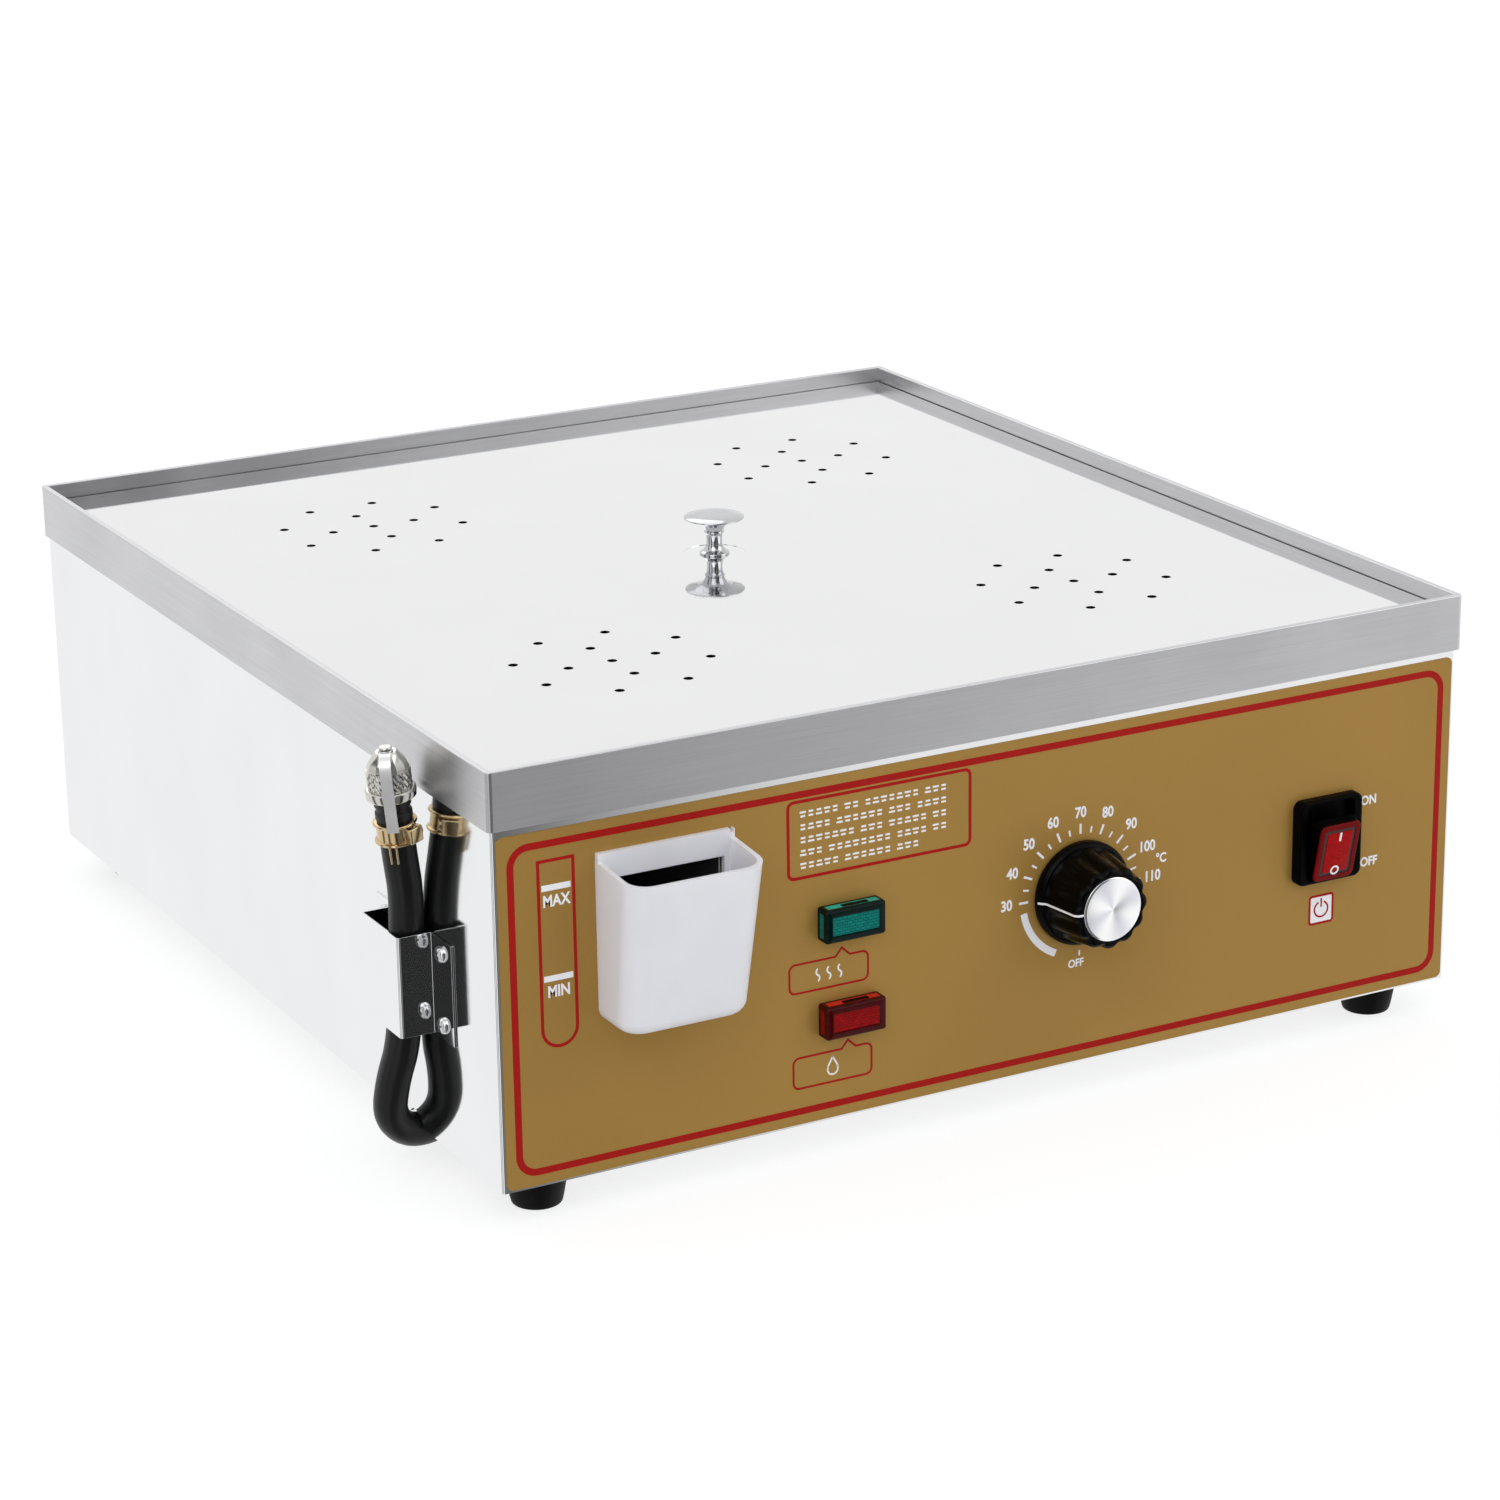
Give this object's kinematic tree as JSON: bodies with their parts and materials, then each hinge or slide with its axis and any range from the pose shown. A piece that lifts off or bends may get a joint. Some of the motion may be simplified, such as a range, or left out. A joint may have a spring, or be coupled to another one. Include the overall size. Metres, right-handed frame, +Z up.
{
  "type": "electric steamer base",
  "caption": "Square electric dumpling steamer base with a perforated steam plate, gold front panel, fill box, lamps, thermostat, switch and a clipped drain hose.",
  "frame": {"origin": "on the table, under the middle of the whole footprint without the hose", "axes": "+X to the right seen from the front, +Y to the back, +Z up"},
  "size_m": [0.5238, 0.5928, 0.2202],
  "materials": {
    "polished_steel": "mirror-polished stainless sheet",
    "satin_steel": "satin stainless sheet, fine grain along its edges",
    "plate_steel": "bright polished stainless plate",
    "tank_steel": "mill-finish stainless",
    "chrome_knob": "bright chrome",
    "screw_steel": "bright machine screws",
    "gold_film": "gold-brown film with red and white print",
    "white_plastic": "milky white moulded plastic",
    "knob_black": "black moulded plastic, satin gloss",
    "spun_aluminium": "turned face with fine rings",
    "lamp_green": "clear green lens with a ribbed inner window",
    "lamp_red": "clear red lens with a ribbed inner window",
    "switch_black": "fine-grained black plastic",
    "switch_red": "clear red plastic",
    "boot_red": "clear soft boot",
    "hose_rubber": "black hose, slight sheen",
    "foot_rubber": "black moulded rubber",
    "nickel": "nickel plate",
    "clamp_zinc": "zinc plate with a yellow tint",
    "strap_steel": "bright spring strip",
    "heater_steel": "heat-tinted stainless tube",
    "brass": "turned brass",
    "gland_black": "black nylon",
    "phenolic": "dark moulded resin",
    "gasket_white": "white silicone sheet",
    "wire_sleeve": "sleeved bundle of wires",
    "copper": "nickelled copper bulb"
  },
  "bodies": {
    "cabinet": {"casing": "polished_steel", "front_overlay": "gold_film", "rear_cover": "satin_steel", "base_tray": "satin_steel", "top_rim": "satin_steel", "water_tank": "tank_steel", "fill_box": "white_plastic", "duct_gasket": "gasket_white", "fill_duct": "tank_steel", "fill_box_nuts": "screw_steel", "heating_lamp_lens": "lamp_green", "heating_lamp_body": "switch_black", "low_water_lamp_lens": "lamp_red", "low_water_lamp_body": "switch_black", "thermostat_body": "phenolic", "thermostat_screws": "screw_steel", "thermostat_bulb": "copper", "switch_housing": "switch_black", "heater_element": "heater_steel", "heater_nuts": "brass", "heater_bracket": "tank_steel", "float_stem": "tank_steel", "float_nut": "screw_steel", "terminal_block": "phenolic", "wiring_loom": "wire_sleeve", "cable_gland": "gland_black", "gland_locknut": "gland_black", "earth_stud": "brass", "earth_nut": "brass", "drain_elbow": "brass", "drain_hose": "hose_rubber", "hose_clip": "polished_steel", "hose_clip_screws": "screw_steel", "drain_nipple": "gland_black", "hose_clamp": "clamp_zinc", "cap_strap": "strap_steel", "rubber_feet": "foot_rubber", "foot_screws": "screw_steel", "foot_nuts": "screw_steel", "rear_cover_screws": "screw_steel", "rim_screws": "screw_steel"},
    "plate": {"steam_plate": "plate_steel", "plate_knob": "chrome_knob", "plate_knob_screw": "screw_steel"},
    "knob": {"thermostat_shaft": "brass", "control_knob": "knob_black", "knob_disc": "spun_aluminium"},
    "rocker": {"switch_rocker": "switch_black", "switch_boot": "boot_red", "switch_window": "switch_red"},
    "float": {"float_ring": "white_plastic"},
    "cap": {"drain_cap": "nickel"}
  },
  "joints": [
    {"name": "steam_plate_lift", "type": "slide", "parent": "cabinet", "child": "plate", "axis": [0, 0, 1], "range_m": [0, 0.06]},
    {"name": "thermostat_turn", "type": "hinge", "parent": "cabinet", "child": "knob", "pos_m": [0.049, -0.26095, 0.101], "axis": [0, 1, 0], "range_deg": [-90, 180]},
    {"name": "rocker_press", "type": "hinge", "parent": "cabinet", "child": "rocker", "pos_m": [0.1832, -0.25255, 0.1024], "axis": [-1, 0, 0], "range_deg": [0, 25]},
    {"name": "float_rise", "type": "slide", "parent": "cabinet", "child": "float", "axis": [0, 0, 1], "range_m": [0, 0.0117]},
    {"name": "drain_cap_turn", "type": "hinge", "parent": "cabinet", "child": "cap", "pos_m": [-0.2538, -0.19185, 0.1705], "axis": [-0.1178, -0.0643, 0.9909], "range_deg": [0, 330]}
  ]
}
